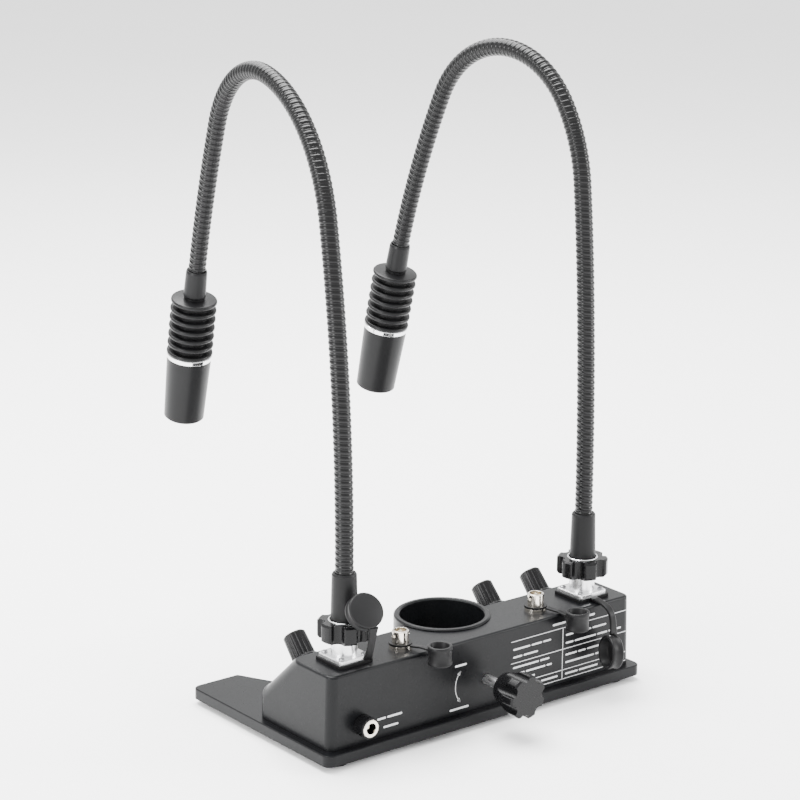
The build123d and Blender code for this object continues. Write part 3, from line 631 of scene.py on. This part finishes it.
def build_caps():
    for side in ("right", "left"):
        build_aux_cap(side)
    outward = Vector(RIGHT_CAP_OUTWARD).normalized()
    mouth = Vector(RIGHT_CAP_FACE) - outward * RIGHT_CAP_DEPTH
    build_lamp_cap(
        "right", mouth, -outward, RIGHT_CAP_DEPTH, RIGHT_CAP_RADIUS, RIGHT_CAP_STRAP, RIGHT_STRAP_ACROSS
    )
    build_lamp_cap(
        "left",
        LEFT_CAP_MOUTH,
        LEFT_CAP_FACING,
        LEFT_CAP_DEPTH,
        LEFT_CAP_RADIUS,
        LEFT_CAP_STRAP,
        LEFT_STRAP_ACROSS,
    )


# ---------------------------------------------------------------- printing

def wall_face():
    """The rear wall's Y, just proud of the paint."""
    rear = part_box("housing_shell")[1][1]
    return rear + INK_LIFT


def ink_strokes(name, strokes):
    """White strokes on the rear wall: each is (x, z, x, z, width), in metres, with rounded ends."""
    form = bmesh.new()
    base = wall_face()
    for x0, z0, x1, z1, width in strokes:
        start, end = Vector((x0, 0, z0)), Vector((x1, 0, z1))
        along = (end - start).normalized()
        side = Vector((-along.z, 0, along.x)) * width / 2
        outline = []
        for centre, turn in ((end, -pi / 2), (start, pi / 2)):
            for step in range(6):
                angle = turn + pi * step / 5
                outline.append(centre + along * cos(angle) * width / 2 + side * sin(angle))
        lower = [form.verts.new((p.x, base - 2 * INK_LIFT, p.z)) for p in outline]
        upper = [form.verts.new((p.x, base, p.z)) for p in outline]
        form.faces.new(upper)
        form.faces.new(list(reversed(lower)))
        for i in range(len(outline)):
            j = (i + 1) % len(outline)
            form.faces.new((lower[i], lower[j], upper[j], upper[i]))
    piece = finish_mesh(name, form, "ink", smooth=False)
    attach(piece, "base")
    return piece


def blank_line(x, z, dashes, height):
    """A row of blank bars in place of words, running towards -X from x."""
    strokes = []
    for length in dashes:
        strokes.append((x * MM, z * MM, (x - length) * MM, z * MM, height * MM))
        x -= length + BAR_GAP
    return strokes


def print_table():
    left, right, divider = -18.5 * MM, -109.6 * MM, -58.6 * MM
    rules = [41.7 * MM, 28.2 * MM, 15.1 * MM, 9.4 * MM]
    strokes = [(left, z, right, z, RULE_WIDTH) for z in rules]
    strokes.append((divider, rules[0], divider, rules[-1], RULE_WIDTH))
    ink_strokes("label_rules", strokes)
    words = blank_line(*HEADING_BARS)
    for x, z, dashes in LABEL_BARS:
        words += blank_line(x, z, dashes, LABEL_BAR_HEIGHT)
    ink_strokes("label_bars", words)


def print_arrow():
    """The double-ended turning arrow beside the clamp knob, with a blank bar at each end."""
    centre_x, centre_z = ARROW_CENTRE
    strokes = []
    spots = []
    for step in range(ARROW_STEPS + 1):
        angle = radians(-ARROW_SWEEP + 2 * ARROW_SWEEP * step / ARROW_STEPS)
        x = (centre_x + ARROW_RADIUS * cos(angle)) * MM
        z = (centre_z + ARROW_RADIUS * sin(angle)) * MM
        spots.append((x, z))
    for (x0, z0), (x1, z1) in zip(spots, spots[1:]):
        strokes.append((x0, z0, x1, z1, ARROW_LINE))
    for tip, near in ((spots[0], spots[2]), (spots[-1], spots[-3])):
        back = atan2(near[1] - tip[1], near[0] - tip[0])
        for lean in ARROW_HEAD_LEANS:
            end_x = tip[0] + ARROW_HEAD * cos(back + lean)
            end_z = tip[1] + ARROW_HEAD * sin(back + lean)
            strokes.append((*tip, end_x, end_z, ARROW_LINE))
    strokes += blank_line(23.4, 36.6, [7.5], 1.2)
    strokes += blank_line(27.0, 10.4, [13.0], 1.2)
    ink_strokes("turning_arrow", strokes)


def print_inlet_mark():
    strokes = blank_line(79.6, 18.2, [5.0, 9.5], 1.2) + blank_line(75.2, 12.6, [9.5], 1.2)
    ink_strokes("inlet_mark", strokes)


# ---------------------------------------------------------------- stage

def build_stage():
    """Pale floor, soft overhead and side light, and the camera."""
    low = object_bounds()[0][2]
    form = bmesh.new()
    half = FLOOR_HALF
    corners = [(-half, -half), (half, -half), (half, half), (-half, half)]
    form.faces.new([form.verts.new((x, y, low)) for x, y in corners])
    mesh = bpy.data.meshes.new("floor")
    form.to_mesh(mesh)
    form.free()
    floor = bpy.data.objects.new("floor", mesh)
    bpy.context.scene.collection.objects.link(floor)
    material, nodes, link, shader = graph("pale_floor")
    slow = object_noise(nodes, link, 2.0, 2)
    link(tint(nodes, link, slow, (0.90, 0.90, 0.90), (0.92, 0.92, 0.92)), shader.inputs["Base Color"])
    shader.inputs["Roughness"].default_value = 0.9
    shader.inputs["Specular IOR Level"].default_value = 0.1
    mesh.materials.append(material)
    world = bpy.data.worlds.new("studio")
    bpy.context.scene.world = world
    world.use_nodes = True
    world.node_tree.nodes["Background"].inputs["Color"].default_value = (1, 1, 1, 1)
    world.node_tree.nodes["Background"].inputs["Strength"].default_value = WORLD_STRENGTH
    for light in LIGHTS:
        soft_light(*light)
    build_camera()


def soft_light(name, place, target, size, watts):
    light = bpy.data.lights.new(name, "AREA")
    light.energy = watts
    light.size = size
    lamp = bpy.data.objects.new(name, light)
    lamp.location = place
    aim = Vector(target) - Vector(place)
    lamp.rotation_euler = aim.to_track_quat("-Z", "Y").to_euler()
    bpy.context.scene.collection.objects.link(lamp)


def build_camera():
    """A long lens behind and above the object, towards its +X end."""
    azimuth, elevation, roll = [radians(angle) for angle in CAMERA_ANGLES]
    back = Vector((sin(azimuth) * cos(elevation), -cos(azimuth) * cos(elevation), sin(elevation)))
    right = Vector((cos(azimuth), sin(azimuth), 0))
    up = back.cross(right)
    right, up = right * cos(roll) + up * sin(roll), up * cos(roll) - right * sin(roll)
    camera = bpy.data.cameras.new("camera")
    camera.sensor_width = 36
    camera.lens = CAMERA_LENS
    holder = bpy.data.objects.new("camera", camera)
    turned = Matrix((right, up, back)).transposed().to_4x4()
    holder.matrix_world = Matrix.Translation(CAMERA_PLACE) @ turned
    bpy.context.scene.collection.objects.link(holder)
    bpy.context.scene.camera = holder


# ---------------------------------------------------------------- assembly

paint_nodes()
for side in ("right", "left"):
    gooseneck = Arm(side)
    build_hose(gooseneck)
    build_head(gooseneck)
build_caps()
print_table()
print_arrow()
print_inlet_mark()
build_stage()
